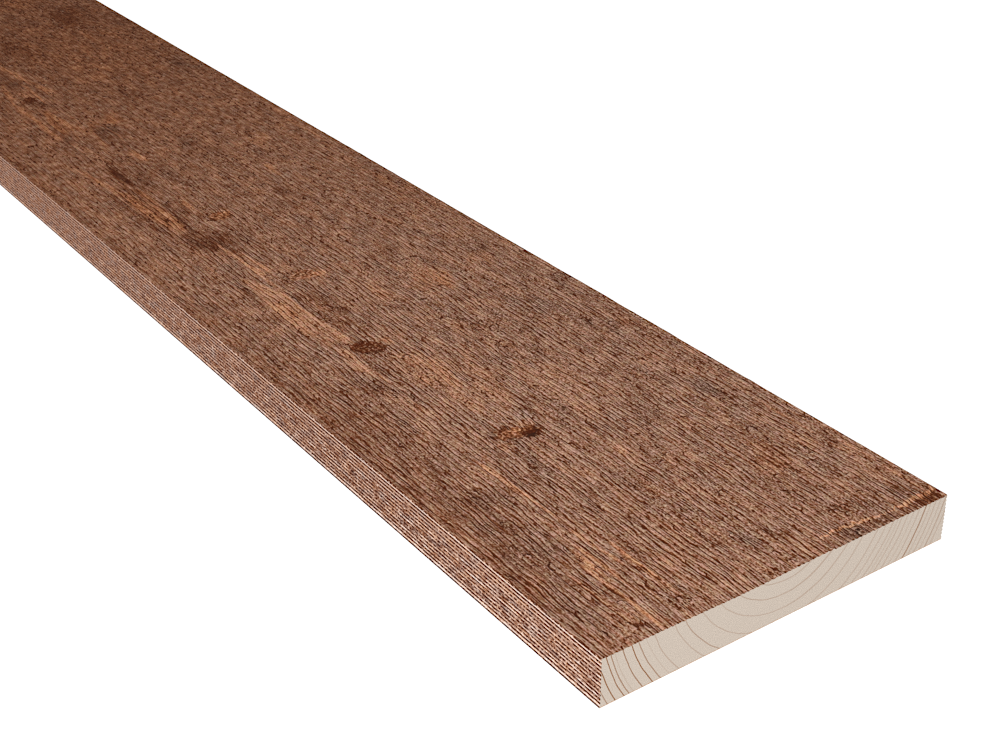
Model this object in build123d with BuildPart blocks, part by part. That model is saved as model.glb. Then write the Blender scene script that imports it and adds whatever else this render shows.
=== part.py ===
from build123d import *
from math import floor
import os

# A sawn softwood plank: one length of timber with combed faces.
# Frame: X across the width, Y along the length, Z up. Origin at the centre of the underside.
# The underside is plain, and the ends are sawn square. Sizes are in millimetres.

length = 1800.0
width = 145.0
thickness = 18.0
arris_radius = 0.35

# Combing of the top face: round-nosed grooves along the grain, with a narrow land between two grooves
top_pitch = 2.1
top_land = 0.5
top_groove_depth = 0.35
top_border = 1.0

# Combing of the two long edges: finer and deeper
edge_pitch = 1.45
edge_land = 0.35
edge_groove_depth = 0.4
edge_border = 0.9


def nose_radius(groove_width, groove_depth):
    """Radius of the comb tooth whose groove has this width at the face and this depth."""
    return (groove_width**2 / 4 + groove_depth**2) / (2 * groove_depth)


def groove_count(face_width, border, pitch, land):
    """How many grooves fit on a face between its two plain borders."""
    return floor((face_width - 2 * border + land) / pitch)


top_nose = nose_radius(top_pitch - top_land, top_groove_depth)
top_grooves = groove_count(width, top_border, top_pitch, top_land)
top_tooth_height = thickness + top_nose - top_groove_depth

edge_nose = nose_radius(edge_pitch - edge_land, edge_groove_depth)
edge_grooves = groove_count(thickness, edge_border, edge_pitch, edge_land)
edge_tooth_reach = width / 2 + edge_nose - edge_groove_depth

with BuildPart() as plank:
    # The section of the plank, seen along its length
    with BuildSketch(Plane.XZ) as section:
        Rectangle(width, thickness, align=(Align.CENTER, Align.MIN))
        fillet(section.vertices(), radius=arris_radius)
        with Locations((0, top_tooth_height)):
            with GridLocations(top_pitch, 0, top_grooves, 1):
                Circle(top_nose, mode=Mode.SUBTRACT)
        for side in (-1, 1):
            with Locations((side * edge_tooth_reach, thickness / 2)):
                with GridLocations(0, edge_pitch, 1, edge_grooves):
                    Circle(edge_nose, mode=Mode.SUBTRACT)
    extrude(amount=length / 2, both=True)

plank.part.label = "plank"
print("top grooves", top_grooves, "edge grooves", edge_grooves)

os.makedirs("parts", exist_ok=True)
export_step(plank.part, "parts/plank.step")
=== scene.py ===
# A stained softwood plank with combed faces, lying on a pale floor
import math

import bmesh
import bpy
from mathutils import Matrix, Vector, noise


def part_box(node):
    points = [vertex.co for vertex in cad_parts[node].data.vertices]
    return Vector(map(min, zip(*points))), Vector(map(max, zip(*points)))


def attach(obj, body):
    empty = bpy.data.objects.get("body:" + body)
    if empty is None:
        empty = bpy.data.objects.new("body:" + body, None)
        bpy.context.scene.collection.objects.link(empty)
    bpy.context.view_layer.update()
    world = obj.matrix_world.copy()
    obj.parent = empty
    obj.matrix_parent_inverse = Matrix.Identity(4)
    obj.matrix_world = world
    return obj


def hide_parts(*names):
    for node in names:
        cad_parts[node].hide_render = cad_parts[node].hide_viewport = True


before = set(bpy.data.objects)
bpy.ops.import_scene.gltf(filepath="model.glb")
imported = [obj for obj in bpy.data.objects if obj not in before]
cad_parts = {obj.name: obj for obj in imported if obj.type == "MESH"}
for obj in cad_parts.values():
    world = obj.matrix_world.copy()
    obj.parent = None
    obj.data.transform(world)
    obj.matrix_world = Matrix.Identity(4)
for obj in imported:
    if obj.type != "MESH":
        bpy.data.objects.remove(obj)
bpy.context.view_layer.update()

low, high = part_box("plank")
millimetre = 0.001
plankWidth, plankLength, plankThickness = ((high[i] - low[i]) / millimetre for i in range(3))
nearEnd = -plankLength / 2
leftEdge = -plankWidth / 2
onSurface = 0.01  # mm: nearer than this lies on it


def linear(hexColour):  # sRGB hex to the linear RGBA that a shader socket wants
    channels = [int(hexColour[i:i + 2], 16) / 255 for i in (0, 2, 4)]
    return (*[c / 12.92 if c <= 0.04045 else ((c + 0.055) / 1.055) ** 2.4 for c in channels], 1.0)


def smooth(value, start, end):  # 0 at start, 1 at end, eased
    t = min(1.0, max(0.0, (value - start) / (end - start)))
    return t * t * (3 - 2 * t)


def wander(x, y, acrossScale, alongScale, seed):  # even noise from -1 to 1, stretched along the grain
    return noise.noise(Vector((x / acrossScale, y / alongScale, seed * 7.3)))


# The combing, in mm: pitches and numbers of grooves as in the part, depths a little under the part's own
comb = {
    "topPitch": 2.1,
    "topDepth": 0.34,
    "topGrooves": 68,
    "topChips": 0.16,
    "topFade": 0.4,
    "topFadesBetween": (220, 520),
    "edgePitch": 1.45,
    "edgeDepth": 0.38,
    "edgeGrooves": 11,
    "edgeChips": 0.14,
    "columnsPerRidge": 4,
    "backColumns": 10,
    "arrisWear": 0.16,
    "waver": 1.2,
    "waverEndsBetween": (700, 500),
}

# Rows of faces along the plank: up to this place, this step, in mm
rowSteps = [(12, 0.8), (210, 1.9), (420, 3.0), (760, 7.0), (plankLength, 60.0)]

# Knots: place from the near left corner and half sizes in mm, turn in degrees, how far they sink in mm,
# how dark and how orange
knotKeys = ("along", "across", "long", "wide", "turn", "sink", "dark", "warm")
knots = [dict(zip(knotKeys, row)) for row in (
    (113.8, 52.6, 3.7, 9.3, 20, 0.3, 0.1, 0.5),
    (197.0, 43.6, 4.6, 6.8, 47, 0.45, 0.24, 0.15),
    (267.0, 54.5, 5.0, 7.0, 0, 0.15, -0.03, 0.45),
    (341.5, 54.0, 4.6, 5.6, 0, 0.2, 0.06, 0.6),
    (537.0, 41.5, 4.2, 3.0, 0, 0.4, 0.26, 0.5),
    (905.0, 49.0, 6.0, 7.0, 10, 0.0, 0.28, 0.5),
    (1190.0, 58.0, 5.0, 6.5, -15, 0.0, 0.1, 0.8),
    (1512.0, 44.0, 6.5, 7.0, 0, 0.0, 0.3, 0.5),
)]

# Growth rings: radius in mm from the pith and strength of each, left and right of the pith, and its course
rings = {
    "left": [
        (17.5, 0.3), (22.3, 0.35), (27.5, 0.4), (33.0, 0.3), (39.0, 0.3), (44.9, 0.5), (48.6, 0.3),
        (55.8, 0.35), (58.6, 0.15), (61.3, 0.7), (63.8, 1.0), (67.0, 0.8), (69.8, 0.2), (71.2, 0.75),
        (72.8, 0.9), (75.6, 1.0), (78.2, 0.65),
    ],
    "right": [
        (17.5, 0.3), (22.3, 0.3), (27.5, 0.35), (33.0, 0.3), (38.6, 0.25), (44.6, 0.25), (48.0, 0.22),
        (51.0, 0.25), (52.9, 0.16), (54.7, 0.25), (57.5, 0.25), (60.0, 0.16), (62.5, 0.25), (65.5, 0.7),
        (67.6, 0.2), (70.0, 0.28), (72.4, 0.2), (74.6, 0.4), (76.8, 0.25),
    ],
    "lineWidth": 0.45,
    "wobbleSize": (9, 70),
    "wobble": 2.4,
    "firstAndLast": (17.0, 80.0),
    "pithAcross": 72.0,
    "pithUp": 37.0,
    "pithRoams": (6, 4),
}

# Where the stain took unevenly. Patches: along, across, half length, half width, tone, warmth.
# Streaks: along and across of both ends, half width, tone, warmth.
# Flames, the tips of the growth figure: along of the root and of the tip, across of both, half width,
# tone and warmth inside, tone of the outline
stain = {
    "patches": [
        (20, 8, 9, 10, -0.02, -0.3), (37, 3, 12, 5, -0.1, 0.1), (110, 9, 95, 15, -0.045, 0.0),
        (85, 18, 9, 5, -0.03, -0.2), (135, 32, 4, 3, 0.06, 0.1), (171, 28, 10, 5, -0.12, -0.1),
        (101, 47, 8, 4, -0.1, -0.5), (110.6, 57.3, 2.8, 4.4, -0.62, -0.7), (123, 60, 6, 6, -0.04, -0.5),
        (125.5, 65.5, 3, 1.2, -0.3, -0.3), (121.5, 66, 3, 1, -0.2, -0.3), (117, 46, 2, 3, -0.08, -0.6),
        (115, 52, 2.6, 4, 0.1, 0.5), (107.5, 44.5, 3, 3, 0.06, 0.5), (117, 60, 3, 4, 0.04, 0.5),
        (207, 40, 5, 1.6, 0.16, 0.5), (197.5, 33.5, 7, 3, 0.07, 0.45), (197.5, 52.5, 4, 2, 0.05, 0.8),
        (189, 41.5, 5, 2.5, -0.1, -0.5), (178, 38.6, 4, 2.2, -0.15, -0.2), (60, 67, 8, 4, -0.08, 0.0),
        (31, 65, 3, 2, -0.13, 0.0), (18, 75, 8, 3, -0.06, -0.6), (85, 75, 4, 3, 0.06, 0.5),
        (48, 112, 8, 7, -0.02, 0.5), (60, 116, 5, 4, -0.07, 0.4), (100, 128, 9, 5, -0.05, -0.5),
        (172, 127, 12, 8, -0.03, -0.1), (155, 138, 12, 4, -0.09, 0.1), (2, 110, 4, 16, -0.04, -0.4),
        (9, 130, 6, 11, -0.03, -0.1), (2.5, 137, 2.6, 7, -0.3, 0.0), (190, 115, 14, 8, -0.04, -0.4),
        (186, 88, 6, 4, -0.07, 0.0), (235, 46, 34, 8, -0.05, 0.0), (200, 137, 10, 4, -0.04, -0.3),
        (235, 98, 12, 9, 0.03, 0.4), (236, 72, 12, 4, 0.04, 0.4), (257, 84.5, 4, 2, -0.14, -0.5),
        (266, 95, 6, 3, -0.12, 0.1), (283, 77, 4, 3, -0.08, 0.0), (240, 130, 16, 6, -0.03, -0.2),
        (245, 131, 3, 2, -0.14, -0.3), (320, 35, 18, 9, -0.15, -0.15), (317, 37, 7, 5, -0.12, -0.1),
        (313, 43, 14, 5, -0.08, -0.1), (264.5, 60, 3, 6, 0.12, 0.8), (315, 84, 4, 2.5, -0.1, -0.4),
        (330, 88, 4, 2.5, -0.12, 0.2), (351, 92, 7, 4, -0.09, 0.0), (356, 75, 4, 2, -0.1, -0.2),
        (356, 43, 8, 4, -0.15, -0.1), (362, 48, 8, 1.6, 0.05, 0.9), (334, 50, 3, 6, 0.05, 0.0),
        (344, 57, 5, 3, 0.06, 0.5), (320, 135, 30, 8, -0.04, 0.1), (318, 57, 6, 2, -0.1, -0.3),
        (300, 52, 3, 3, -0.07, 0.2), (410, 36, 12, 3.5, -0.12, -0.3), (431, 55, 9, 2, 0.03, 0.8),
        (468, 55, 15, 9, -0.09, -0.5), (470, 33, 6, 4, -0.12, -0.7), (485, 66, 6, 5, 0.02, 0.9),
        (435, 84, 12, 5, -0.08, -0.4), (515, 88, 12, 6, -0.08, -0.2), (404, 66, 4, 2, -0.12, -0.4),
        (527, 43, 8, 5, -0.08, -0.5), (544, 42, 3, 3, 0.1, 0.4), (570, 43, 10, 6, -0.14, -0.8),
        (547, 133, 16, 7, -0.06, -0.5), (620, 68, 24, 10, -0.08, 0.0), (637, 84, 1.6, 1.2, 0.4, 0.0),
        (665, 113, 20, 7, -0.1, 0.0), (680, 123, 12, 4, -0.1, 0.4), (600, 100, 80, 40, 0.0, 0.25),
        (550, 118, 3, 2, -0.12, 0.0), (393, 63, 5, 2, -0.1, 0.0), (30, 6, 8, 7, -0.05, -0.2),
        (60, 16, 45, 12, -0.038, -0.2), (80, 19, 12, 5, -0.02, 0.0), (150, 18, 16, 14, -0.053, 0.0),
        (166, 33, 8, 4, -0.075, 0.0), (90, 46, 9, 5, -0.053, -0.33), (40, 68, 10, 6, -0.053, -0.13),
        (110, 100, 10, 8, -0.053, -0.13), (40, 110, 26, 12, -0.03, 0.0), (8, 138, 14, 9, -0.08, -0.1),
        (212, 35, 7, 4, -0.068, 0.13), (228, 76, 7, 6, -0.053, 0.0), (240, 50, 13, 6, -0.075, 0.0),
        (255, 129, 9, 8, -0.06, -0.1), (175, 130, 9, 8, -0.053, 0.0), (148, 138, 9, 6, -0.02, 0.0),
        (200, 116, 7, 6, -0.053, 0.0), (188, 84, 8, 10, -0.045, 0.0), (95, 62, 8, 7, 0.075, 0.13),
        (134, 57, 22, 10, 0.068, 0.2), (132, 88, 20, 16, 0.075, 0.26), (128, 127, 14, 10, 0.053, 0.13),
        (172, 51, 18, 9, 0.068, 0.52), (155, 60, 22, 16, 0.0, 0.26), (66, 100, 9, 8, 0.045, 0.0),
        (235, 31, 14, 5, 0.03, 0.45), (232, 95, 10, 9, 0.015, 0.39), (187, 112, 7, 6, 0.03, 0.39),
        (240, 124, 8, 8, 0.03, 0.45), (24, 58, 9, 13, 0.03, 0.26), (36, 141, 8, 4, 0.03, 0.45),
        (317, 47, 14, 11, -0.075, -0.13), (400, 42, 34, 8, -0.068, -0.13),
        (402, 57, 18, 8, -0.045, -0.13), (484, 37, 12, 7, -0.053, -0.13), (345, 93, 15, 8, -0.053, -0.13),
        (420, 84, 8, 10, -0.045, 0.0), (640, 50, 14, 16, -0.045, -0.13), (700, 66, 16, 10, -0.06, 0.0),
        (668, 120, 18, 13, -0.075, -0.13), (545, 110, 14, 8, -0.03, -0.2), (372, 106, 9, 15, 0.045, 0.0),
        (420, 112, 12, 9, 0.038, 0.26), (455, 86, 18, 8, 0.03, 0.2), (560, 85, 15, 11, 0.022, 0.2),
        (470, 52, 12, 5, 0.03, 0.45), (600, 41, 12, 9, 0.03, 0.52), (715, 100, 24, 15, 0.0, 0.52),
    ],
    "streaks": [
        (14, 2.6, 290, 2.6, 2.6, -0.09, -0.1), (250, 2.2, 520, 2.2, 2.0, -0.07, 0.0),
        (18, 10, 290, 12, 9.0, -0.04, -0.15), (-20, 144.6, 760, 144.6, 1.2, -0.12, 0.0),
        (188, 46, 224, 73, 4.0, -0.05, -0.1), (-4, 27.2, 46, 25.6, 0.9, 0.1, 0.75),
        (4, 18.6, 40, 17.4, 1.2, 0.02, 0.9), (60, 33.2, 106, 30.0, 0.8, 0.1, 1.8),
        (30, 33.8, 58, 32.8, 0.8, 0.09, 1.8), (20, 37.6, 46, 38.2, 0.8, 0.07, 1.6),
        (14, 29.2, 50, 28.2, 0.8, 0.08, 1.7), (-4, 24.0, 42, 24.2, 0.8, 0.07, 1.6),
        (58, 35.2, 96, 32.6, 0.6, -0.12, 0.0), (8, 38.2, 42, 37.6, 1.3, 0.03, 0.8),
        (24, 41.4, 52, 41.8, 0.7, -0.13, 0.0), (18, 29.4, 47, 28.6, 0.8, -0.12, 0.0),
        (72, 42.0, 96, 43.4, 0.7, -0.12, 0.0), (162, 37.4, 191, 33.2, 0.9, 0.11, 0.7),
        (162, 40.4, 192, 37.8, 1.6, -0.1, -0.3), (162, 23.6, 196, 25.6, 1.2, -0.1, -0.5),
        (202, 40.2, 276, 36.4, 1.0, 0.12, 0.5), (238, 25.4, 282, 28.2, 1.1, -0.12, -0.3),
        (204, 42.6, 262, 43.2, 0.6, -0.1, 0.0), (209, 45.6, 263, 46.2, 0.6, -0.09, 0.0),
        (205, 48.6, 252, 49.2, 0.6, -0.09, 0.0), (214, 51.6, 256, 52.2, 0.6, -0.08, 0.0),
        (246, 37.6, 286, 42.2, 1.2, 0.14, 1.4), (276, 41.6, 318, 38.4, 1.2, 0.14, 1.6),
        (280, 41.8, 322, 42.4, 0.9, -0.12, 0.0), (268, 24.2, 302, 25.2, 0.8, 0.05, 0.6),
        (298, 22.4, 346, 22.0, 0.9, 0.04, 0.7), (322, 27.2, 402, 23.4, 1.2, -0.13, -0.6),
        (328, 36.8, 374, 39.2, 1.5, -0.14, -0.6), (344, 32.6, 388, 30.4, 0.7, -0.14, 0.0),
        (345, 27.6, 402, 25.4, 0.9, 0.08, 0.6), (380, 27.0, 432, 23.4, 1.0, 0.08, 0.4),
        (384, 31.0, 431, 37.6, 1.0, -0.12, 0.0), (398, 34.6, 426, 38.8, 1.4, -0.1, -0.3),
        (468, 30.0, 532, 33.2, 0.9, 0.05, 0.7), (538, 57.4, 602, 48.2, 1.3, 0.06, 0.7),
        (560, 52.0, 600, 47.0, 1.0, 0.06, 0.6), (438, 46.5, 520, 49.5, 1.0, 0.04, 0.5),
        (0, 141.5, 60, 141.0, 1.2, 0.0, 0.5), (50, 137.0, 110, 138.0, 1.2, 0.03, 0.6),
        (260, 141.0, 330, 140.5, 1.2, 0.0, 0.7), (380, 138.0, 470, 141.5, 1.6, 0.03, 0.6),
        (0, 80.5, 60, 81.5, 1.0, 0.02, 0.6), (276, 45.4, 304, 43.6, 1.0, 0.1, 1.3),
        (322, 29.6, 396, 27.0, 0.9, -0.1, -0.1), (330, 34.4, 396, 36.6, 1.4, 0.03, 1.3),
        (338, 31.4, 430, 25.0, 1.3, 0.04, 1.4), (335, 24.6, 392, 22.6, 1.0, -0.13, -0.1),
        (368, 33.6, 438, 39.6, 1.2, -0.12, 0.0), (420, 57.4, 437, 50.8, 1.4, 0.07, 1.3),
        (462, 32.0, 532, 32.2, 1.6, 0.06, 1.3), (486, 38.2, 514, 40.4, 1.2, -0.1, 0.0),
        (470, 47.4, 514, 39.6, 1.5, 0.06, 1.3), (478, 67.0, 486, 56.0, 3.0, 0.06, 1.2),
        (528, 56.5, 604, 46.4, 1.6, 0.06, 1.2), (536, 33.5, 566, 36.8, 1.4, 0.05, 1.0),
        (150, 97.0, 190, 98.5, 1.0, 0.02, 0.5), (365, 99.0, 388, 100.0, 1.6, 0.02, 0.9),
    ],
    "flames": [
        (30, 49, 26.4, 25.2, 1.3, 0.04, 0.35, -0.05), (76, 107, 31.6, 30.0, 1.5, 0.07, 0.35, -0.06),
        (112, 165, 33.0, 30.4, 5.6, 0.035, 0.15, -0.06), (176, 203, 33.0, 33.6, 3.4, 0.09, 0.25, -0.08),
        (196, 277, 36.0, 32.8, 5.6, 0.065, 0.45, -0.12), (330, 392, 33.2, 30.0, 4.2, -0.02, 0.6, -0.14),
        (430, 467, 37.6, 35.4, 3.2, 0.07, 0.3, -0.08), (474, 514, 39.6, 40.6, 4.2, 0.05, 0.8, -0.07),
        (503, 570, 36.5, 42.5, 6.6, 0.0, 0.15, 0.06), (440, 482, 52.0, 54.0, 4.0, -0.04, -0.2, 0.05),
    ],
}

# Where the rings bulge round the knots: along, across, half length, half width and height, in mm
swells = {
    "places": [
        (113, 51, 18, 10, 4.0), (197, 43, 20, 8, 4.5), (267, 55, 18, 8, 3.0), (341, 54, 18, 8, 3.0),
        (537, 41, 32, 10, 6.0), (905, 49, 70, 12, 7.0), (1190, 58, 70, 12, 6.0), (1512, 44, 80, 12, 7.0),
    ],
    "wander": 1.2,
}

# The torn strip beside the near end: a ragged break across the grain, in mm. Each change of its splinters'
# width gives a place across, the two distances from it between which the width changes, and by how much
tear = {
    "from": 92.0,
    "to": 144.0,
    "along": 4.7,
    "ragged": 1.5,
    "longerBetween": (122, 100),
    "longer": 2.2,
    "drop": 0.3,
    "splinterWidth": 0.8,
    "splinterChanges": [(0, 127, 130, 0.9), (122, 6, 2, -0.5), (0, 99, 94, -0.3)],
    "clear": 20.0,  # stands for far from the break
}

# The plank's own swell and hollow and its worn arris, in mm
wear = {
    "swell": 0.07,
    "endHollow": 0.75,
    "hollowAcross": 56.0,
    "hollowHalfWide": 27.0,
    "hollowHalfLong": 90.0,
    "rightArris": 0.5,
}


def rowPlaces():
    places, at = [0.0], 0.0
    for limit, step in rowSteps:
        count = max(1, round((limit - at) / step))
        places += [at + (limit - at) * (i + 1) / count for i in range(count)]
        at = limit
    return places


def grooveShape(place, pitch, valleyAtCentre):  # 0 on a land, 1 at the bottom of a groove
    phase = place / pitch + (0.0 if valleyAtCentre else 0.5)
    return 0.5 + 0.5 * math.cos(2 * math.pi * phase)


def combWaver(centred, along):  # how far the comb strayed sideways here, the same for crest and groove
    strayed = wander(centred, along, 13, 21, 41) + 0.5 * wander(centred, along, 6, 11, 42)
    inset = smooth(plankWidth / 2 - abs(centred), 0.6, 5)
    return comb["waver"] * strayed * inset * smooth(along, *comb["waverEndsBetween"])


def tearPlace(across):  # how far from the end the break runs, at this place across the plank
    zigzag = noise.noise(Vector((across / 2.1, 3.7, 0.0)))
    zigzag += 0.6 * noise.noise(Vector((across / 0.9, 9.1, 0.0)))
    return tear["along"] + tear["ragged"] * zigzag + tear["longer"] * smooth(across, *tear["longerBetween"])


def splinterWidth(across):  # widest towards the right arris, and thinner just before it
    width = tear["splinterWidth"]
    for centre, start, end, change in tear["splinterChanges"]:
        width += change * smooth(abs(across - centre), start, end)
    return width


def topSink(across, along, combPlace):  # how far the top face lies under its highest level
    border = comb["topGrooves"] * comb["topPitch"] / 2
    groove = 0.0 if abs(combPlace) > border else grooveShape(combPlace, comb["topPitch"], False)
    strength = 0.85 + 0.35 * wander(across, along, 7, 40, 1) + 0.25 * wander(across, along, 2.4, 11, 2)
    strength = max(0.3, min(1.25, strength)) * (1 - comb["topFade"] * smooth(along, *comb["topFadesBetween"]))
    sink = comb["topDepth"] * groove * strength
    chipped = smooth(wander(across, along, 2.2, 6, 3) + 0.5 * wander(across, along, 5, 30, 4), 0.25, 0.6)
    sink += comb["topChips"] * chipped * (1 - 0.6 * groove)
    sink += wear["swell"] * (1 + wander(across, along, 20, 120, 5))
    hollow = math.exp(-((across - wear["hollowAcross"]) / wear["hollowHalfWide"]) ** 2)
    sink += wear["endHollow"] * hollow * math.exp(-(along / wear["hollowHalfLong"]) ** 2)
    for knot in knots:
        offAlong, offAcross = along - knot["along"], across - knot["across"]
        if abs(offAlong) < 15:  # a dip with a slight lip round it
            reach = math.hypot(offAlong / knot["long"], offAcross / knot["wide"])
            sink += knot["sink"] * (smooth(reach, 1.25, 0.7) - 0.5 * smooth(abs(reach - 1.2), 0.5, 0.0))
    if tear["from"] < across < tear["to"]:
        sink += tear["drop"] * smooth(along - tearPlace(across), 0.5, -0.5)
    return max(0.0, sink)


def edgeSink(up, along, side):  # how far an edge lies inside its outermost level
    centred = up - plankThickness / 2
    border = comb["edgeGrooves"] * comb["edgePitch"] / 2
    groove = 0.0 if abs(centred) > border else grooveShape(centred, comb["edgePitch"], True)
    strength = 1.0 + 0.15 * wander(up, along, 3, 45, 11 + side)
    sink = comb["edgeDepth"] * groove * min(1.0, strength)
    chipped = smooth(wander(up, along, 1.3, 5, 13 + side), 0.3, 0.6)
    sink += comb["edgeChips"] * chipped * (1 - groove)
    if side > 0:
        sink += wear["rightArris"] * (0.5 + 0.5 * wander(up, along, 30, 70, 17)) * smooth(up, 6, 18)
    return max(0.0, sink)


def stainHere(across, along):  # tone and warmth that the stain marks give this place
    tone = warm = 0.0
    ragged = 0.35 * wander(across, along, 2.2, 7, 51)
    for a, c, halfLong, halfWide, toneThere, warmThere in stain["patches"]:
        if abs(along - a) < 1.6 * halfLong and abs(across - c) < 1.6 * halfWide:
            reach = math.hypot((along - a) / halfLong, (across - c) / halfWide)
            share = smooth(reach + ragged, 1.3, 0.35)
            tone, warm = tone + share * toneThere, warm + share * warmThere
    for fromAlong, fromAcross, toAlong, toAcross, halfWide, toneThere, warmThere in stain["streaks"]:
        s = (along - fromAlong) / (toAlong - fromAlong)
        if 0 < s < 1 and abs(across - fromAcross) < 14:
            off = abs(across - fromAcross - (toAcross - fromAcross) * s) / halfWide
            taper = smooth(s, 0, 0.18) * smooth(s, 1, 0.86)
            share = smooth(off + 0.7 * ragged, 1.5, 0.3) * taper
            tone, warm = tone + share * toneThere, warm + 0.5 * share * warmThere
    for root, tip, fromAcross, toAcross, halfWide, toneThere, warmThere, outline in stain["flames"]:
        s = (along - root) / (tip - root)
        if 0 < s < 1.2 and abs(across - toAcross) < 14:
            off = (across - fromAcross - (toAcross - fromAcross) * s) / halfWide
            edge = off * off + s ** 4 - 1 + 0.6 * ragged
            share = smooth(edge, 0.0, -0.25) * smooth(s, 0, 0.3)
            rim = smooth(abs(edge - 0.35), 0.4, 0.0) * smooth(s, 0.1, 0.5)
            tone += share * toneThere + rim * outline
            warm += share * warmThere + (0.8 if outline > 0 else -0.3) * rim
    return tone, warm


def cutBlank():  # the section's outline, cut into columns, drawn out along the plank and cut into rows
    bm = bmesh.new()
    topColumns = (comb["topGrooves"] + 1) * comb["columnsPerRidge"]
    edgeColumns = (comb["edgeGrooves"] + 1) * comb["columnsPerRidge"]
    half, thick = plankWidth / 2, plankThickness
    corners = [bm.verts.new(p) for p in ((-half, 0, 0), (half, 0, 0), (half, 0, thick), (-half, 0, thick))]
    sides = [bm.edges.new((corners[i], corners[(i + 1) % 4])) for i in range(4)]
    for side, columns in zip(sides, (comb["backColumns"], edgeColumns, topColumns, edgeColumns)):
        bmesh.ops.subdivide_edges(bm, edges=[side], cuts=columns - 1)
    step = 1 / comb["columnsPerRidge"]
    for v in bm.verts:  # columns keep to the comb: a crest, a groove and the slopes between
        if v.co.z > thick - onSurface and abs(v.co.x) < half - onSurface:
            index = round((v.co.x + half) / plankWidth * topColumns) - topColumns / 2
            v.co.x = index * step * comb["topPitch"]
        elif abs(v.co.x) > half - onSurface and onSurface < v.co.z < thick - onSurface:
            index = round(v.co.z / thick * edgeColumns) - edgeColumns / 2
            v.co.z = thick / 2 + index * step * comb["edgePitch"]
    section = bmesh.ops.contextual_create(bm, geom=bm.edges[:])["faces"]
    drawn = bmesh.ops.extrude_face_region(bm, geom=section)["geom"]
    farPoints = [g for g in drawn if isinstance(g, bmesh.types.BMVert)]
    bmesh.ops.translate(bm, verts=farPoints, vec=(0, plankLength, 0))
    rows = rowPlaces()
    lengthwise = [e for e in bm.edges if abs(e.verts[0].co.y - e.verts[1].co.y) > plankLength / 2]
    bmesh.ops.subdivide_edges(bm, edges=lengthwise, cuts=len(rows) - 2, use_grid_fill=True)
    for v in bm.verts:
        v.co.y = rows[round(v.co.y / plankLength * (len(rows) - 1))]
    return bm


def markPoint(v, marks, pithMark):  # what the finishes read here: comb line, rings, stain and tear
    half, along = plankWidth / 2, v.co.y
    across = v.co.x + half
    roam = smooth(along, 0, 200)
    roamAcross, roamUp = rings["pithRoams"]
    v[pithMark] = (rings["pithAcross"] - half + roamAcross * roam * wander(0, along, 1, 420, 21), 0,
                   rings["pithUp"] + roamUp * roam * wander(0, along, 1, 380, 22))
    lift = swells["wander"] * wander(across, along, 30, 160, 23)
    for a, c, halfLong, halfWide, height in swells["places"]:
        reach = ((along - a) / halfLong) ** 2 + ((across - c) / halfWide) ** 2
        lift += height * math.exp(-reach) if reach < 9 else 0.0
    v[marks["swell"]] = lift
    v[marks["comb"]] = v.co.x
    v[marks["tear"]] = tear["clear"]
    if v.co.z > plankThickness - onSurface:
        v[marks["tone"]], v[marks["warm"]] = stainHere(across, along)
        if tear["from"] < across < tear["to"]:
            v[marks["tear"]] = (along - tearPlace(across)) / splinterWidth(across)


def wearPoint(v):  # moves a point of the blank to the combed and worn surface
    half, thick = plankWidth / 2, plankThickness
    place, along, up = v.co
    side = 1 if place > 0 else -1
    onTop, onEdge = up > thick - onSurface, abs(place) > half - onSurface
    if onTop and onEdge:
        worn = comb["arrisWear"] * (1 + 0.7 * wander(place, along, 9, 6, 31))
        v.co.x -= side * (worn + (edgeSink(thick, along, 1) if side > 0 else 0))
        v.co.z -= worn
    elif onTop:
        v.co.x += combWaver(place, along)
        v.co.z -= topSink(place + half, along, place)
    elif onEdge and up > onSurface:
        v.co.x -= side * edgeSink(up, along, side)


def sortFaces(bm):  # 0 top, 1 edges, 2 underside, 3 sawn ends, with a sharp line where two finishes meet
    for f in bm.faces:
        f.smooth = len(f.verts) < 5
        if len(f.verts) > 4 or abs(f.normal.y) > 0.9:
            f.material_index = 3
        elif abs(f.normal.x) > 0.6:
            f.material_index = 1
        else:
            f.material_index = 2 if f.normal.z < -0.6 else 0
    for e in bm.edges:
        if len({f.material_index for f in e.link_faces}) > 1:
            e.smooth = False


def meshFrom(bm, name):
    mesh = bpy.data.meshes.new(name)
    bm.to_mesh(mesh)
    bm.free()
    return mesh


def newObject(name, data):
    made = bpy.data.objects.new(name, data)
    bpy.context.scene.collection.objects.link(made)
    return made


def makePlank():
    bm = cutBlank()
    marks = {name: bm.verts.layers.float.new(name) for name in ("comb", "swell", "tone", "warm", "tear")}
    pithMark = bm.verts.layers.float_vector.new("pith")
    for v in bm.verts:
        markPoint(v, marks, pithMark)
        wearPoint(v)
    bmesh.ops.translate(bm, verts=bm.verts, vec=(0, nearEnd, 0))
    bmesh.ops.scale(bm, verts=bm.verts, vec=(millimetre,) * 3)
    bmesh.ops.recalc_face_normals(bm, faces=bm.faces)
    sortFaces(bm)
    mesh = meshFrom(bm, "plank_timber")
    for finish in (combedFace(), combedEdge(), planedBack(), sawnEnd()):
        mesh.materials.append(finish)
    triangles = sum(len(p.vertices) - 2 for p in mesh.polygons)
    print("plank:", len(mesh.vertices), "points,", triangles, "triangles")
    return newObject("plank_timber", mesh)


# Adds one shader node. Names in small letters are its own settings, the rest are its sockets
def add(tree, kind, settings, out=0):
    node = tree.nodes.new("ShaderNode" + kind)
    for name, value in settings.items():
        if isinstance(value, bpy.types.NodeSocket):
            tree.links.new(value, node.inputs[name])
        elif isinstance(name, str) and name[0].islower():
            setattr(node, name, value)
        else:
            node.inputs[name].default_value = value
    return node.outputs[out]


eased = {"interpolation_type": "SMOOTHSTEP"}


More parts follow.
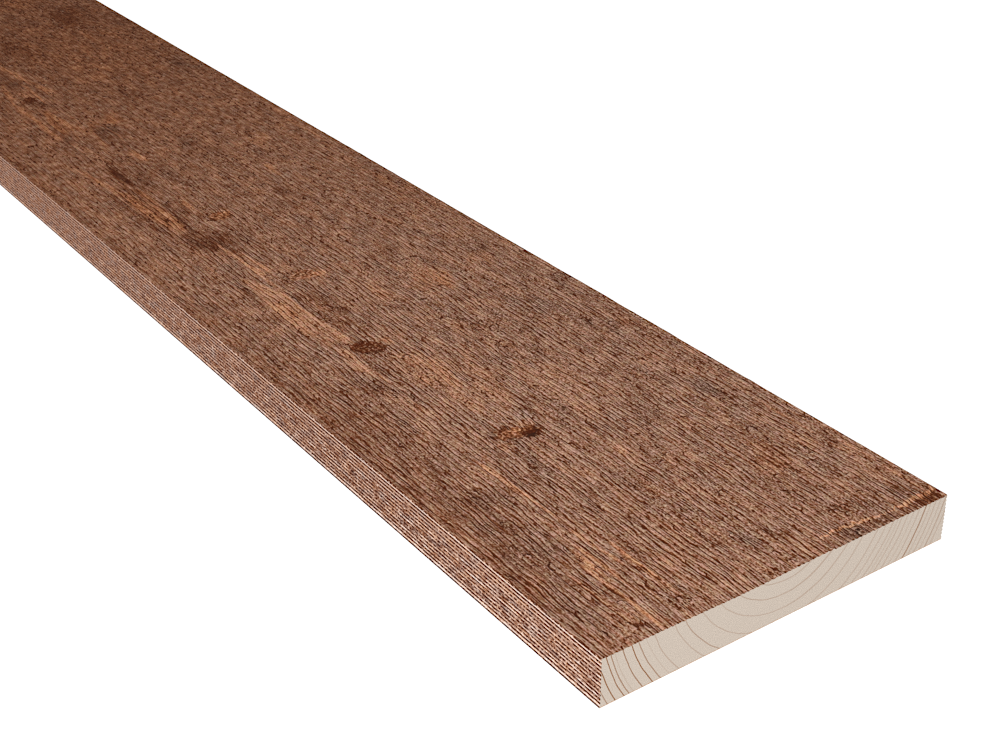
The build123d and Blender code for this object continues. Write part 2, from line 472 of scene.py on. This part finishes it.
def newMaterial(name):  # a matt, non-metal shader and the place on the plank in millimetres
    material = bpy.data.materials.new(name)
    material.use_nodes = True
    tree = material.node_tree
    shader = tree.nodes["Principled BSDF"]
    shader.inputs["Metallic"].default_value = 0.0
    shader.inputs["IOR"].default_value = 1.5
    place = add(tree, "TexCoord", {}, "Object")
    millimetres = add(tree, "Mapping", {"Vector": place, "Scale": (1 / millimetre,) * 3})
    return material, tree, shader, millimetres


def finishShader(tree, shader, finish, colour, relief=None):  # colour, roughness, sheen and fine relief
    tree.links.new(colour, shader.inputs["Base Color"])
    shader.inputs["Roughness"].default_value = finish["roughness"]
    shader.inputs["Specular IOR Level"].default_value = finish["sheen"]
    if relief is not None:
        depth = finish["relief"] * millimetre
        bump = add(tree, "Bump", {"Height": relief, "Distance": depth, "Strength": 1.0})
        tree.links.new(bump, shader.inputs["Normal"])


def fill(ramp, hexColours):  # even stops from dark to light
    stops = ramp.color_ramp.elements
    while len(stops) < len(hexColours):
        stops.new(0.5)
    for i, colour in enumerate(hexColours):
        stops[i].position = i / (len(hexColours) - 1)
        stops[i].color = linear(colour)


def addAll(tree, total, parts):  # adds each part, times its share, to a running total
    for value, share in parts:
        total = add(tree, "Math", {"operation": "MULTIPLY_ADD", 0: value, 1: share, 2: total})
    return total


# Values that change evenly between two places: from, to, the value at the first and at the last
def gradual(tree, place, start, changes):
    made = {}
    for name, (first, last, atFirst, atLast) in changes.items():
        ends = {"From Min": start + first, "From Max": start + last, "To Min": atFirst, "To Max": atLast}
        made[name] = add(tree, "MapRange", {"Value": place, **ends})
    return made


def noiseLayer(tree, place, size, detail, total, gain):  # adds even noise of this size to a running total
    cells = add(tree, "VectorMath", {"operation": "DIVIDE", 0: place, 1: (*size, 9)})
    layer = add(tree, "TexNoise", {"noise_dimensions": "2D", "Vector": cells, "Scale": 1.0, "Detail": detail})
    shifted = add(tree, "Math", {"operation": "SUBTRACT", 0: layer, 1: 0.5})
    return addAll(tree, total, [(shifted, gain)])


def fromPith(tree, place):  # the distance from the pith, in mm
    pith = add(tree, "Attribute", {"attribute_name": "pith"}, "Vector")
    offset = add(tree, "VectorMath", {"operation": "SUBTRACT", 0: place, 1: pith})
    flat = add(tree, "VectorMath", {"operation": "MULTIPLY", 0: offset, 1: (1, 0, 1)})
    return add(tree, "VectorMath", {"operation": "LENGTH", 0: flat}, "Value")


def ringFigure(tree, place, sharpness):  # along the grain: 0 in earlywood, up to 1 where each clear ring ends
    span = 100.0  # mm of radius that the ramp covers
    shifted = noiseLayer(tree, place, rings["wobbleSize"], 2.0, fromPith(tree, place), rings["wobble"])
    swell = add(tree, "Attribute", {"attribute_name": "swell"}, "Fac")
    shifted = add(tree, "Math", {"operation": "ADD", 0: shifted, 1: swell})
    first, last = rings["firstAndLast"]
    wrapped = add(tree, "Math", {"operation": "WRAP", 0: shifted, 1: last, 2: first})
    share = add(tree, "Math", {"operation": "DIVIDE", 0: wrapped, 1: span})
    ramp = add(tree, "ValToRGB", {"Fac": share})
    stops = ramp.node.color_ramp.elements
    stops[0].position, stops[1].position = 0.0, 1.0
    stops[0].color = stops[1].color = (0, 0, 0, 1)
    for radius, strength in rings["left"]:
        if strength > 0.25:
            stops.new(radius / span).color = (strength ** (1 / sharpness),) * 3 + (1,)
            stops.new((radius + rings["lineWidth"]) / span).color = (0, 0, 0, 1)
    return add(tree, "Math", {"operation": "POWER", 0: ramp, 1: sharpness})


def ringLines(tree, radius, side, halfWidth):  # across the grain: the thin line that ends each ring
    lines = 0.0
    for radiusAt, strength in rings[side]:
        line = add(tree, "Math", {"operation": "COMPARE", 0: radius, 1: radiusAt, 2: halfWidth})
        lines = addAll(tree, lines, [(line, strength)])
    return lines


def stainColour(tree, finish, tone, warmth):  # tone picks the shade, warmth turns it orange or a cooler brown
    colour = add(tree, "ValToRGB", {"Fac": tone})
    fill(colour.node, finish["shades"])
    for name, side in (("warmShades", 1.0), ("coolShades", -1.0)):
        turned = add(tree, "ValToRGB", {"Fac": tone})
        fill(turned.node, finish[name])
        share = add(tree, "Math", {"operation": "MULTIPLY", "use_clamp": True, 0: warmth, 1: side})
        colour = add(tree, "Mix", {"data_type": "RGBA", 0: share, 6: colour, 7: turned}, 2)
    return colour


def tintedGrain(tree, finish, place, colour):  # stain soaks in unevenly: fibres lean to pink or to olive
    share = noiseLayer(tree, place, finish["tintSize"], 1.0, 0.5, finish["tint"])
    clamped = add(tree, "Clamp", {"Value": share})
    tint = add(tree, "Mix", {"data_type": "RGBA", 0: clamped, 6: linear(finish["oliveTint"]),
                             7: linear(finish["pinkTint"])}, 2)
    return add(tree, "Mix", {"data_type": "RGBA", "blend_type": "MULTIPLY", 0: 1.0, 6: colour, 7: tint}, 2)


# Brown-stained softwood, combed: rosy brown crests and dark grooves broken into short fibres, matt.
# Shades run from dark to light, and sizes are in mm, across the grain and along it. A change gives its start
# and end in mm, and its value at each. The rest are shares of the shades
# The crests' light and the grooves' dark are partly painted highlight and painted shade, as the relief also
# sets the tone
topFinish = {
    "shades": ["300a00", "562103", "723e1f", "8c5e45", "a9816b", "c9a490", "e8c7b5"],
    "warmShades": ["2f0b00", "582505", "7c4220", "9f623d", "c2855f", "e0aa88", "f6ceae"],
    "coolShades": ["1d0902", "3b2013", "5c3d2d", "7d5e4e", "a18272", "c5a797", "e5c9bb"],
    "middle": 0.592,
    "limits": {"SMOOTH_MIN": (0.88, 0.5), "SMOOTH_MAX": (0.14, 0.25)},  # shade and softness of each
    "combLine": 0.14,
    "combTwin": 0.2,  # parts each line in two
    "combLostInKnots": 0.6,
    "driftSize": (5, 14),
    "drift": 0.6,
    "jitterSize": (1.7, 6),
    "jitter": 0.8,
    "calmSize": (9, 22),
    "calm": 2.6,
    "fibreSize": (0.62, 2.0),
    "fibre": 0.75,
    "gritSize": (0.5, 1.0),
    "grit": 1.25,
    "hairSize": (0.6, 9),
    "hair": 0.6,
    "tuftSize": (2.6, 4.5),
    "hueSize": (6, 15),
    "hue": 1.2,
    "hueLift": 0.15,
    "pinkTint": "fff7fd",
    "oliveTint": "fafff5",
    "tintSize": (1.6, 3.2),
    "tint": 2.6,
    "hooks": {"cell": (4.4, 8.5), "shift": (13.7, 5.1), "share": 0.3,
              "length": 3.6, "width": 0.38, "hook": 0.7},
    "pits": {"cell": (2.3, 3.4), "shift": (71.3, 40.9), "share": 0.3,
             "length": 0.8, "width": 0.42, "hook": 0.2},
    "curls": {"cell": (5.0, 6.0), "shift": (31.9, 17.7), "share": 0.4, "radii": (1.3, 1.8),
              "arcs": ((1.0, 0.26), (0.55, 0.3)), "raggedSize": (1.6, 1.6), "ragged": 0.9},
    # Torn marks darken the tone: painted shade in the pits, with the torn fibres' darker colour
    "torn": 0.55,
    # Curl arcs: the dark one is painted shade in the crack, with darker fibres; the lighter one is a painted
    # highlight
    "curl": 0.42,
    "curlHighlight": 0.16,
    "curlCool": 0.4,
    "lateSharpness": 7.0,
    "lateTone": 0.05,
    "lateWarmth": 0.45,
    "splinterSize": (1.5, 1.5),
    "splinterRagged": 1.4,
    "splinterTone": 0.2,
    "splinterWarmth": 1.0,
    "stripTone": -0.07,
    "changesAcross": {"steady": (40, 110, 1.05, 0.75), "even": (0, 40, 0.8, 1.0)},
    "changesAlong": {
        "smoother": (180, 460, 1.0, 0.36),
        "tuft": (150, 450, 0.25, 0.5),
        "darker": (230, 640, 0.0, -0.145),
        "warmer": (150, 450, 0.05, 0.2),
    },
    "roughness": 0.8,
    "sheen": 0.15,
    "relief": 0.3,
}

# How knots look in that finish: rough, dark rims and blotches inside
knotFinish = {
    "raggedSize": (2.4, 2.4),
    "ragged": 1.2,
    "spotSize": (1.4, 1.1),
    "spots": 1.7,
    "level": -0.08,
    "rimTone": -0.1,
    "rimWarmth": -0.3,
}


# One spot in each cell: how far off it is, in cells, whether it is drawn, and two chances of its own
def scatter(tree, place, marks):
    moved = add(tree, "VectorMath", {"operation": "ADD", 0: place, 1: (*marks["shift"], 0)})
    cells = add(tree, "VectorMath", {"operation": "DIVIDE", 0: moved, 1: (*marks["cell"], 9)})
    spots = add(tree, "TexVoronoi", {"Vector": cells, "Scale": 1.0, "voronoi_dimensions": "2D"}).node
    local = add(tree, "VectorMath", {"operation": "SUBTRACT", 0: cells, 1: spots.outputs["Position"]})
    chances = add(tree, "SeparateColor", {0: spots.outputs["Color"]}).node.outputs
    chosen = add(tree, "Math", {"operation": "LESS_THAN", 0: chances[0], 1: marks["share"]})
    return local, chosen, chances[1], chances[2]


def tornMarks(tree, place, marks):  # short torn marks, hooked at their far end
    local, chosen, sizeChance, sideChance = scatter(tree, place, marks)
    size = add(tree, "Math", {"operation": "MULTIPLY_ADD", 0: sizeChance, 1: 1.3, 2: 0.6})
    side = add(tree, "Math", {"operation": "SUBTRACT", 0: sideChance, 1: 0.4})
    facing = add(tree, "Math", {"operation": "SIGN", 0: side})
    turned = add(tree, "CombineXYZ", {0: facing, 1: 1.0, 2: 1.0})
    real = add(tree, "VectorMath", {"operation": "MULTIPLY", 0: local, 1: (*marks["cell"], 9)})
    real = add(tree, "VectorMath", {"operation": "MULTIPLY", 0: real, 1: turned})
    real = add(tree, "VectorMath", {"operation": "SCALE", 0: real, "Scale": size})
    across = add(tree, "SeparateXYZ", {0: real})
    along = across.node.outputs[1]
    ahead = add(tree, "Math", {"operation": "MAXIMUM", 0: along, 1: 0.0})
    bend = add(tree, "Math", {"operation": "POWER", 0: ahead, 1: 1.6})
    offLine = addAll(tree, across, [(bend, -marks["hook"])])
    away = add(tree, "Math", {"operation": "ABSOLUTE", 0: offLine})
    taper = add(tree, "MapRange", {**eased, "Value": along, "From Min": -marks["length"], "From Max": 0.4,
                                   "To Min": 0.05, "To Max": marks["width"]})
    inside = add(tree, "Math", {"operation": "DIVIDE", 0: away, 1: taper})
    mark = add(tree, "MapRange", {**eased, "Value": inside, "From Min": 1.0, "From Max": 0.4})
    stop = add(tree, "MapRange", {**eased, "Value": along, "From Min": 1.6, "From Max": 0.9})
    for share in (stop, chosen):
        mark = add(tree, "Math", {"operation": "MULTIPLY", 0: mark, 1: share})
    return mark


# The dark arc is painted shade in the crack, with the torn fibres' darker colour; the lighter arc inside it
# is a painted highlight
def curlMarks(tree, place, marks):  # torn fibres that curl over: a dark arc round a lighter one
    local, chosen, sizeChance, sideChance = scatter(tree, place, marks)
    stretch = [marks["cell"][i] / marks["radii"][i] for i in range(2)]
    real = add(tree, "VectorMath", {"operation": "MULTIPLY", 0: local, 1: (*stretch, 0)})
    size = add(tree, "Math", {"operation": "MULTIPLY_ADD", 0: sizeChance, 1: 0.9, 2: 0.6})
    real = add(tree, "VectorMath", {"operation": "SCALE", 0: real, "Scale": size})
    reach = add(tree, "VectorMath", {"operation": "LENGTH", 0: real}, "Value")
    reach = noiseLayer(tree, place, marks["raggedSize"], 1.0, reach, marks["ragged"])
    side = add(tree, "Math", {"operation": "SUBTRACT", 0: sideChance, 1: 0.5})
    facing = add(tree, "CombineXYZ", {0: side, 1: 0.35, 2: 0.0})
    ahead = add(tree, "VectorMath", {"operation": "DOT_PRODUCT", 0: real, 1: facing}, "Value")
    shown = add(tree, "MapRange", {**eased, "Value": ahead, "From Min": -0.12, "From Max": 0.1})
    shown = add(tree, "Math", {"operation": "MULTIPLY", 0: shown, 1: chosen})
    arcs = []
    for radius, width in marks["arcs"]:
        off = add(tree, "Math", {"operation": "SUBTRACT", 0: reach, 1: radius})
        away = add(tree, "Math", {"operation": "ABSOLUTE", 0: off})
        line = add(tree, "MapRange", {**eased, "Value": away, "From Min": width, "From Max": width * 0.3})
        arcs.append(add(tree, "Math", {"operation": "MULTIPLY", 0: line, 1: shown}))
    return arcs


def knotMarks(tree, place):  # tone and warmth of the knots, and 1 inside them, where the comb left no lines
    raggedness = noiseLayer(tree, place, knotFinish["raggedSize"], 2.0, 0.0, knotFinish["ragged"])
    blotches = noiseLayer(tree, place, knotFinish["spotSize"], 1.0, knotFinish["level"], knotFinish["spots"])
    tone = warmth = within = 0.0
    for knot in knots:
        centre = (knot["across"] + leftEdge, knot["along"] + nearEnd, 0)
        offset = add(tree, "VectorMath", {"operation": "SUBTRACT", 0: place, 1: centre})
        turn = math.radians(knot["turn"])
        turned = add(tree, "VectorRotate", {"rotation_type": "Z_AXIS", "Vector": offset, "Angle": turn})
        shrink = (1 / knot["wide"], 1 / knot["long"], 0)
        scaled = add(tree, "VectorMath", {"operation": "MULTIPLY", 0: turned, 1: shrink})
        reach = add(tree, "VectorMath", {"operation": "LENGTH", 0: scaled}, "Value")
        ragged = add(tree, "Math", {"operation": "ADD", 0: reach, 1: raggedness})
        inside = add(tree, "MapRange", {**eased, "Value": ragged, "From Min": 1.05, "From Max": 0.8})
        fromRim = add(tree, "Math", {"operation": "SUBTRACT", 0: ragged, 1: 1.0})
        rimOff = add(tree, "Math", {"operation": "ABSOLUTE", 0: fromRim})
        rim = add(tree, "MapRange", {**eased, "Value": rimOff, "From Min": 0.2, "From Max": 0.0})
        spotted = add(tree, "Math", {"operation": "SUBTRACT", 0: blotches, 1: knot["dark"]})
        tone = addAll(tree, tone, [(inside, spotted), (rim, knotFinish["rimTone"] - knot["dark"])])
        warmth = addAll(tree, warmth, [(inside, knot["warm"]), (rim, knotFinish["rimWarmth"])])
        within = addAll(tree, within, [(inside, 1.0)])
    return tone, warmth, within


def tearMarks(tree, place):  # the splinters along the break, and the strip between the break and the end
    fromTear = add(tree, "Attribute", {"attribute_name": "tear"}, "Fac")
    away = add(tree, "Math", {"operation": "ABSOLUTE", 0: fromTear})
    away = noiseLayer(tree, place, topFinish["splinterSize"], 1.0, away, topFinish["splinterRagged"])
    splinters = add(tree, "MapRange", {**eased, "Value": away, "From Min": 0.85, "From Max": 0.35})
    strip = add(tree, "MapRange", {**eased, "Value": fromTear, "From Min": 0.0, "From Max": -0.8})
    return splinters, strip


def combLines(tree, place, laid, drift, calm):  # crests, grooves and fibres, clear where the comb ran calmly
    combPlace = add(tree, "Attribute", {"attribute_name": "comb"}, "Fac")
    drifting = add(tree, "Math", {"operation": "ADD", 0: combPlace, 1: drift})
    jittered = noiseLayer(tree, laid, topFinish["jitterSize"], 0.0, drifting, topFinish["jitter"])
    phase = add(tree, "Math", {"operation": "MULTIPLY", 0: jittered, 1: 2 * math.pi / comb["topPitch"]})
    doubled = add(tree, "Math", {"operation": "MULTIPLY", 0: phase, 1: 2.0})
    wave = add(tree, "Math", {"operation": "COSINE", 0: phase})
    twin = add(tree, "Math", {"operation": "COSINE", 0: doubled})
    ridges = addAll(tree, 0.0, [(wave, topFinish["combLine"]), (twin, -topFinish["combTwin"])])
    ridges = add(tree, "Math", {"operation": "MULTIPLY", 0: ridges, 1: calm})
    tangled = add(tree, "MapRange", {**eased, "Value": calm, "From Min": 1.2, "From Max": 0.3,
                                     "To Min": 0.7, "To Max": 1.2})
    grit = noiseLayer(tree, place, topFinish["gritSize"], 1.0, 0.0, topFinish["grit"])
    relief = addAll(tree, ridges, [(grit, tangled)])
    relief = noiseLayer(tree, laid, topFinish["fibreSize"], 1.0, relief, topFinish["fibre"])
    return noiseLayer(tree, laid, topFinish["hairSize"], 0.0, relief, topFinish["hair"])


def combedFace():
    material, tree, shader, place = newMaterial("Stained softwood, combed")
    across = add(tree, "SeparateXYZ", {0: place})
    changes = gradual(tree, across, leftEdge, topFinish["changesAcross"])
    changes |= gradual(tree, across.node.outputs[1], nearEnd, topFinish["changesAlong"])
    drift = noiseLayer(tree, place, topFinish["driftSize"], 1.0, 0.0, topFinish["drift"])
    sideways = add(tree, "CombineXYZ", {0: drift})
    laid = add(tree, "VectorMath", {"operation": "ADD", 0: place, 1: sideways})
    calm = noiseLayer(tree, place, topFinish["calmSize"], 2.5, changes["steady"], topFinish["calm"])
    relief = combLines(tree, place, laid, drift, calm)
    knotTone, knotWarmth, inKnot = knotMarks(tree, place)
    combed = addAll(tree, 1.0, [(inKnot, -topFinish["combLostInKnots"])])
    for share in (combed, changes["even"], changes["smoother"]):
        relief = add(tree, "Math", {"operation": "MULTIPLY", 0: relief, 1: share})
    tufts = noiseLayer(tree, place, topFinish["tuftSize"], 1.0, 0.0, 1.0)
    hooks, pits = [tornMarks(tree, place, topFinish[name]) for name in ("hooks", "pits")]
    torn = add(tree, "Math", {"operation": "MAXIMUM", 0: hooks, 1: pits})
    tearable = add(tree, "MapRange", {**eased, "Value": calm, "From Min": 1.1, "From Max": 0.6})
    arcs = curlMarks(tree, place, topFinish["curls"])
    # The dark arcs are painted shade in the cracks, with darker fibres; the lighter arcs are a painted
    # highlight
    curls, curlHighlights = [add(tree, "Math", {"operation": "MULTIPLY", 0: arc, 1: tearable}) for arc in arcs]
    relief = addAll(tree, relief, [
        (tufts, changes["tuft"]), (torn, -topFinish["torn"]), (curls, -topFinish["curl"]),
        (curlHighlights, topFinish["curlHighlight"]),
    ])
    hue = noiseLayer(tree, place, topFinish["hueSize"], 1.0, 0.0, topFinish["hue"])
    late = ringFigure(tree, place, topFinish["lateSharpness"])
    splinters, strip = tearMarks(tree, place)
    stainTone = add(tree, "Attribute", {"attribute_name": "tone"}, "Fac")
    stainWarmth = add(tree, "Attribute", {"attribute_name": "warm"}, "Fac")
    # The relief sets the tone as well: painted highlight on the crests, painted shade in the grooves and torn
    # pits, besides the fibres' own lighter and darker colour
    tone = addAll(tree, relief, [
        (hue, topFinish["hueLift"]), (stainTone, 1.0), (changes["darker"], 1.0),
        (late, topFinish["lateTone"]), (knotTone, 1.0), (splinters, topFinish["splinterTone"]),
        (strip, topFinish["stripTone"]),
    ])
    warmth = addAll(tree, hue, [
        (stainWarmth, 1.0), (changes["warmer"], 1.0), (curls, -topFinish["curlCool"]),
        (late, topFinish["lateWarmth"]), (knotWarmth, 1.0), (splinters, topFinish["splinterWarmth"]),
    ])
    tone = add(tree, "Math", {"operation": "ADD", 0: tone, 1: topFinish["middle"]})
    for limit, (level, ease) in topFinish["limits"].items():
        tone = add(tree, "Math", {"operation": limit, 0: tone, 1: level, 2: ease})
    colour = stainColour(tree, topFinish, tone, warmth)
    finishShader(tree, shader, topFinish, tintedGrain(tree, topFinish, laid, colour), relief)
    return material


# The same stained softwood on the edges, where a finer comb leaves straight, lighter ridges
# Its ridges are partly painted: painted highlight on the crests and the top arris, painted shade in the
# grooves
edgeFinish = {
    "shades": ["4a1400", "6e3a1e", "8f5e45", "ad8470", "cfa993", "efcbb7", "fde5d7"],
    "warmShades": ["47190a", "7c4421", "a3663a", "c58a5c", "deab82", "f3caa6", "fde4cc"],
    "coolShades": ["221a1a", "443b3b", "6a5f5e", "908583", "b6aba8", "dad0cc", "f2ebe8"],
    "combLine": 0.42,
    "brokenSize": (2.6, 8),
    "broken": 2.6,
    "whole": 0.7,
    "dotSize": (0.7, 1.2),
    "dots": 2.6,
    "dotLevel": -0.1,
    # A painted highlight along the top arris: how much it lightens, and the band under the top, in mm, where
    # it fades in
    "arris": 0.34,
    "arrisHighlightBand": (1.0, 0.6),
    "fibreSize": (0.6, 1.3),
    "fibre": 0.8,
    "tuftSize": (2.4, 5),
    "tuft": 0.7,
    "hueSize": (2.6, 6),
    "hue": 1.6,
    "changesFromMiddle": {"outerWhole": (5.0, 7.4, 0.0, 1.35)},
    "changesUp": {"unsteady": (10.5, 14.5, 1.0, 0.25)},
    "changesAlong": {
        "smoother": (120, 430, 1.0, 0.45),
        "middle": (40, 110, 0.42, 0.365),
        "paler": (200, 440, 0.0, 0.04),
    },
    "roughness": 0.75,
    "sheen": 0.15,
    "relief": 0.35,
}


def combedEdge():
    material, tree, shader, place = newMaterial("Stained softwood, finely combed")
    across = add(tree, "SeparateXYZ", {0: place})
    along, up = across.node.outputs[1], across.node.outputs[2]
    fromMiddle = add(tree, "Math", {"operation": "SUBTRACT", 0: up, 1: plankThickness / 2})
    reach = add(tree, "Math", {"operation": "ABSOLUTE", 0: fromMiddle})
    changes = gradual(tree, along, nearEnd, edgeFinish["changesAlong"])
    changes |= gradual(tree, up, 0.0, edgeFinish["changesUp"])
    changes |= gradual(tree, reach, 0.0, edgeFinish["changesFromMiddle"])
    ownSide = addAll(tree, up, [(across, 0.5)])  # so that the two edges have marks of their own
    laid = add(tree, "CombineXYZ", {0: ownSide, 1: along})
    phase = add(tree, "Math", {"operation": "MULTIPLY", 0: fromMiddle, 1: 2 * math.pi / comb["edgePitch"]})
    wave = add(tree, "Math", {"operation": "COSINE", 0: phase})
    broken = noiseLayer(tree, laid, edgeFinish["brokenSize"], 2.0, edgeFinish["whole"], edgeFinish["broken"])
    whole = add(tree, "Math", {"operation": "MAXIMUM", 0: broken, 1: changes["outerWhole"]})
    strength = add(tree, "Math", {"operation": "MULTIPLY", 0: whole, 1: -edgeFinish["combLine"]})
    ridges = add(tree, "Math", {"operation": "MULTIPLY", 0: wave, 1: strength})
    inGroove = add(tree, "MapRange", {"Value": wave, "From Min": -0.4, "From Max": 0.9})
    # Painted highlight along the top arris, in the colour as well as in the relief
    below, above = [plankThickness - depth for depth in edgeFinish["arrisHighlightBand"]]
    arrisHighlight = add(tree, "MapRange", {**eased, "Value": up, "From Min": below, "From Max": above})
    dots = noiseLayer(tree, laid, edgeFinish["dotSize"], 1.0, edgeFinish["dotLevel"], edgeFinish["dots"])
    fibres = noiseLayer(tree, laid, edgeFinish["fibreSize"], 1.0, 0.0, edgeFinish["fibre"])
    fibres = noiseLayer(tree, laid, edgeFinish["tuftSize"], 2.0, fibres, edgeFinish["tuft"])
    relief = addAll(tree, ridges, [
        (arrisHighlight, edgeFinish["arris"]), (dots, inGroove), (fibres, changes["unsteady"]),
    ])
    relief = add(tree, "Math", {"operation": "MULTIPLY", 0: relief, 1: changes["smoother"]})
    # The relief sets the tone as well: painted highlight on the ridges, painted shade in the grooves, where
    # the stain also gathers darker
    tone = addAll(tree, relief, [(changes["middle"], 1.0), (changes["paler"], 1.0)])
    warmth = noiseLayer(tree, laid, edgeFinish["hueSize"], 3.0, 0.0, edgeFinish["hue"])
    finishShader(tree, shader, edgeFinish, stainColour(tree, edgeFinish, tone, warmth), relief)
    return material


# Stained softwood, planed: the hidden back, smooth, with the flat-sawn figure showing through the stain
backFinish = {
    "earlywood": "a87c58",
    "latewood": "6d4227",
    "lateSharpness": 5.0,
    "fibreSize": (0.9, 22),
    "fibre": 1.2,
    "roughness": 0.6,
    "sheen": 0.5,
}


def planedBack():
    material, tree, shader, place = newMaterial("Stained softwood, planed")
    late = ringFigure(tree, place, backFinish["lateSharpness"])
    streaked = noiseLayer(tree, place, backFinish["fibreSize"], 3.0, late, backFinish["fibre"])
    colour = add(tree, "Mix", {"data_type": "RGBA", 0: streaked, 6: linear(backFinish["earlywood"]),
                               7: linear(backFinish["latewood"])}, 2)
    finishShader(tree, shader, backFinish, colour)
    return material


# Bare softwood, cross-cut with a fine saw: pale and dull, with thin brown ring lines
endFinish = {
    "earlywood": "c7b9ab",
    "latewood": "8c5c33",
    "lineHalfWidths": {"left": 0.18, "right": 0.36},
    "wobbleSize": (9, 9),
    "wobble": 0.6,
    "sidesMeet": (-4.0, 8.0),  # across, in mm from the middle
    "fuzzSize": (0.6, 1.0),
    "fuzz": 0.07,
    "stainedRim": "b98450",
    "rimSize": (1.2, 1.2),
    "rimRagged": 0.5,
    "rimWidth": 0.4,
    "rim": 0.8,
    "roughness": 0.85,
    "sheen": 0.5,
}


def sawnEnd():
    material, tree, shader, place = newMaterial("Bare softwood, cross-cut")
    across = add(tree, "SeparateXYZ", {0: place})
    up = across.node.outputs[2]
    start, end = endFinish["sidesMeet"]
    rightOfPith = add(tree, "MapRange", {"Value": across, "From Min": start, "From Max": end})
    laid = add(tree, "CombineXYZ", {0: across, 1: up})
    radius = noiseLayer(tree, laid, endFinish["wobbleSize"], 2.0, fromPith(tree, place), endFinish["wobble"])
    left, right = [ringLines(tree, radius, *side) for side in endFinish["lineHalfWidths"].items()]
    lines = add(tree, "Mix", {0: rightOfPith, 2: left, 3: right})
    fuzzy = noiseLayer(tree, laid, endFinish["fuzzSize"], 2.0, lines, endFinish["fuzz"])
    colour = add(tree, "Mix", {"data_type": "RGBA", 0: fuzzy, 6: linear(endFinish["earlywood"]),
                               7: linear(endFinish["latewood"])}, 2)
    ragged = noiseLayer(tree, laid, endFinish["rimSize"], 1.0, up, endFinish["rimRagged"])
    rim = add(tree, "MapRange", {**eased, "Value": ragged, "From Min": endFinish["rimWidth"], "From Max": 0.0,
                                 "To Max": endFinish["rim"]})
    colour = add(tree, "Mix", {"data_type": "RGBA", 0: rim, 6: colour, 7: linear(endFinish["stainedRim"])}, 2)
    finishShader(tree, shader, endFinish, colour)
    return material


# The camera: place in mm from the near left lower corner, and the way it looks, in degrees
shot = {
    "place": (-230.8, -274.8, 310.7),
    "turn": 35.47,
    "down": 29.32,
    "lens": 58.2,
    "sensor": 36.0,
    "sharpening": 0.025,
}


def placeCamera():
    camera = newObject("camera", bpy.data.cameras.new("camera"))
    camera.data.lens, camera.data.sensor_width = shot["lens"], shot["sensor"]
    camera.location = (Vector((leftEdge, nearEnd, 0)) + Vector(shot["place"])) * millimetre
    turn, down = math.radians(shot["turn"]), math.radians(shot["down"])
    ahead = Vector((math.sin(turn) * math.cos(down), math.cos(turn) * math.cos(down), -math.sin(down)))
    camera.rotation_euler = ahead.to_track_quat("-Z", "Y").to_euler()
    camera.data.clip_start, camera.data.clip_end = 0.01, 50.0
    bpy.context.scene.camera = camera


def sharpen(share):  # the crisp edges that a camera's own processing gives
    bpy.context.scene.use_nodes = True
    tree = bpy.context.scene.node_tree
    tree.nodes.clear()
    picture = tree.nodes.new("CompositorNodeRLayers")
    filtering = tree.nodes.new("CompositorNodeFilter")
    filtering.filter_type = "SHARPEN"
    filtering.inputs["Fac"].default_value = share
    result = tree.nodes.new("CompositorNodeComposite")
    tree.links.new(picture.outputs["Image"], filtering.inputs["Image"])
    tree.links.new(filtering.outputs["Image"], result.inputs["Image"])


# Pale floor and soft light: the lamp's power in watts, sizes and places in metres
studio = {
    "floorSize": 80.0,
    "floorColour": "848483",
    "floorGlow": 0.92,
    "floorRoughness": 0.9,
    "skyColour": "ffffff",
    "skyStrength": 0.3,
    "keyPlace": (-0.62, -1.38, 0.92),
    "keyAim": (0, -0.7, 0),
    "keySize": 0.5,
    "keyPower": 13.0,
}


def layFloor():
    bm = bmesh.new()
    bmesh.ops.create_grid(bm, x_segments=1, y_segments=1, size=studio["floorSize"])
    floor = newObject("floor", meshFrom(bm, "floor"))
    material = bpy.data.materials.new("Pale paper floor")
    material.use_nodes = True
    shader = material.node_tree.nodes["Principled BSDF"]
    shader.inputs["Base Color"].default_value = linear(studio["floorColour"])
    shader.inputs["Roughness"].default_value = studio["floorRoughness"]
    shader.inputs["Specular IOR Level"].default_value = 0.0
    shader.inputs["Emission Color"].default_value = (1, 1, 1, 1)
    shader.inputs["Emission Strength"].default_value = studio["floorGlow"]
    material.cycles.emission_sampling = "NONE"
    floor.data.materials.append(material)


def light():
    world = bpy.data.worlds.new("studio")
    world.use_nodes = True
    sky = world.node_tree.nodes["Background"]
    sky.inputs["Color"].default_value = linear(studio["skyColour"])
    sky.inputs["Strength"].default_value = studio["skyStrength"]
    world.cycles.sampling_method = "NONE"
    bpy.context.scene.world = world
    key = newObject("key", bpy.data.lights.new("key", "AREA"))
    key.data.shape, key.data.size, key.data.energy = "DISK", studio["keySize"], studio["keyPower"]
    key.location = studio["keyPlace"]
    aim = Vector(studio["keyAim"]) - key.location
    key.rotation_euler = aim.to_track_quat("-Z", "Y").to_euler()


bpy.context.scene.view_settings.view_transform = "Standard"
bpy.context.scene.cycles.filter_width = 1.5
bpy.context.scene.cycles.use_denoising = False  # a denoiser would smooth the fibres away
placeCamera()
sharpen(shot["sharpening"])
print("camera placed")
layFloor()
light()
print("floor and light made")
plank = makePlank()
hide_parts("plank")
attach(plank, "root")
print("plank made")
